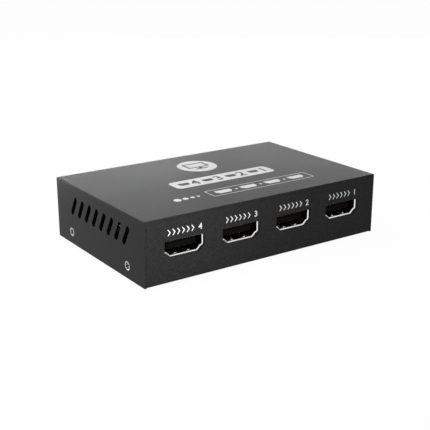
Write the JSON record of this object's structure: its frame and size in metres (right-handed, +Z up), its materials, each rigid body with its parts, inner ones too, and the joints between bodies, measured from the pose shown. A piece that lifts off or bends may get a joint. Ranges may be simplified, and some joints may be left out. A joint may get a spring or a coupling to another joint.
{
  "type": "hdmi splitter",
  "caption": "Flat folded-steel box with a row of video output sockets on its front, and the input, power socket, switch and lamp at the back.",
  "frame": {"origin": "on the resting surface, under the middle of the housing", "axes": "+X to the right along the row of outputs as seen from the front, -Y out of the outputs, +Z up"},
  "size_m": [0.096, 0.0619, 0.023],
  "materials": {
    "black_coat": "fine matt powder coat",
    "nickel_plate": "bright nickel plate",
    "screw_steel": "bright zinc plate",
    "black_moulding": "glass-filled black moulding",
    "gold_contact": "thin gold plate",
    "board_black": "black solder mask",
    "chip_black": "moulded chip body",
    "bare_aluminium": "drawn aluminium",
    "pad_grey": "soft silicone pad",
    "foot_rubber": "matt black rubber",
    "tinned_brass": "tinned brass",
    "standoff_brass": "turned brass",
    "chip_ceramic": "tan ceramic",
    "lamp_red": "clear red resin",
    "slider_black": "black moulding",
    "white_print": "screen-printed white ink"
  },
  "bodies": {
    "housing": {"base_tray": "black_coat", "board_screws": "screw_steel", "board_standoffs": "standoff_brass", "capacitor_bases": "black_moulding", "capacitor_cans": "bare_aluminium", "chip_capacitors": "chip_ceramic", "chip_leads": "tinned_brass", "chip_resistors": "chip_black", "circuit_board": "board_black", "control_chip": "chip_black", "cooling_block": "bare_aluminium", "cover_screws": "screw_steel", "crystal": "tinned_brass", "input_contacts": "gold_contact", "input_shell": "nickel_plate", "input_tongue": "black_moulding", "memory_chip": "chip_black", "output_1_contacts": "gold_contact", "output_1_shell": "nickel_plate", "output_1_tongue": "black_moulding", "output_2_contacts": "gold_contact", "output_2_shell": "nickel_plate", "output_2_tongue": "black_moulding", "output_3_contacts": "gold_contact", "output_3_shell": "nickel_plate", "output_3_tongue": "black_moulding", "output_4_contacts": "gold_contact", "output_4_shell": "nickel_plate", "output_4_tongue": "black_moulding", "power_choke": "chip_black", "power_jack_housing": "black_moulding", "power_jack_pin": "nickel_plate", "power_jack_spring": "tinned_brass", "power_lamp": "lamp_red", "power_lamp_wires": "tinned_brass", "power_switch_base": "black_moulding", "power_switch_can": "tinned_brass", "power_switch_pins": "tinned_brass", "rubber_feet": "foot_rubber", "splitter_chip": "chip_black", "surge_guards": "chip_black", "thermal_pad": "pad_grey", "top_cover": "black_coat", "voltage_regulators": "chip_black"},
    "power_slider": {"power_switch_slider": "slider_black"}
  },
  "joints": [
    {"name": "power_switch_slide", "type": "slide", "parent": "housing", "child": "power_slider", "axis": [1, 0, 0], "range_m": [0, 0.002]}
  ]
}
